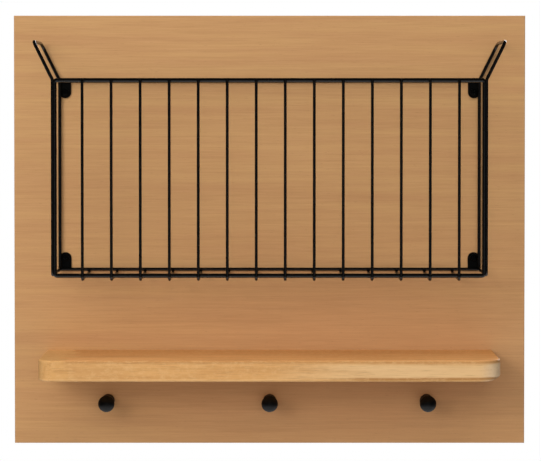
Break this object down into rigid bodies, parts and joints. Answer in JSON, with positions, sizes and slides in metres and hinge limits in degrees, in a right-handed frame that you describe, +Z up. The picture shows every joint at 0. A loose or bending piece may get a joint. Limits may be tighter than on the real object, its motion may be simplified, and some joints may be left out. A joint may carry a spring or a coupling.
{
  "type": "wall organizer",
  "caption": "Wooden wall panel with a black welded wire basket, a solid wood shelf with rounded corners and turned black pegs below it.",
  "frame": {"origin": "centre of the panel's back face, which lies against the wall", "axes": "+X to the right as seen from the room, +Y into the wall, +Z up; the front faces -Y"},
  "size_m": [0.5, 0.115, 0.419],
  "materials": {
    "panel_wood": "fine level grain, satin lacquer",
    "shelf_wood": "solid wood, oiled",
    "peg_black": "turned wood, black lacquer with a soft gloss",
    "wire_black": "black powder coat, satin",
    "screw_black": "black oxide",
    "screw_zinc": "zinc plated"
  },
  "bodies": {
    "root": {"back_panel": "panel_wood", "shelf_board": "shelf_wood", "peg_left": "peg_black", "peg_middle": "peg_black", "peg_right": "peg_black", "basket_front_frame": "wire_black", "basket_side_loop_left": "wire_black", "basket_side_loop_right": "wire_black", "basket_rear_rail_top": "wire_black", "basket_rear_rail_bottom": "wire_black", "basket_rib_01": "wire_black", "basket_rib_02": "wire_black", "basket_rib_03": "wire_black", "basket_rib_04": "wire_black", "basket_rib_05": "wire_black", "basket_rib_06": "wire_black", "basket_rib_07": "wire_black", "basket_rib_08": "wire_black", "basket_rib_09": "wire_black", "basket_rib_10": "wire_black", "basket_rib_11": "wire_black", "basket_rib_12": "wire_black", "basket_rib_13": "wire_black", "basket_rib_14": "wire_black", "basket_tab_top_left": "wire_black", "basket_tab_top_right": "wire_black", "basket_tab_bottom_left": "wire_black", "basket_tab_bottom_right": "wire_black", "tab_screws": "screw_black", "shelf_screws": "screw_zinc", "peg_screws": "screw_zinc"}
  },
  "joints": []
}
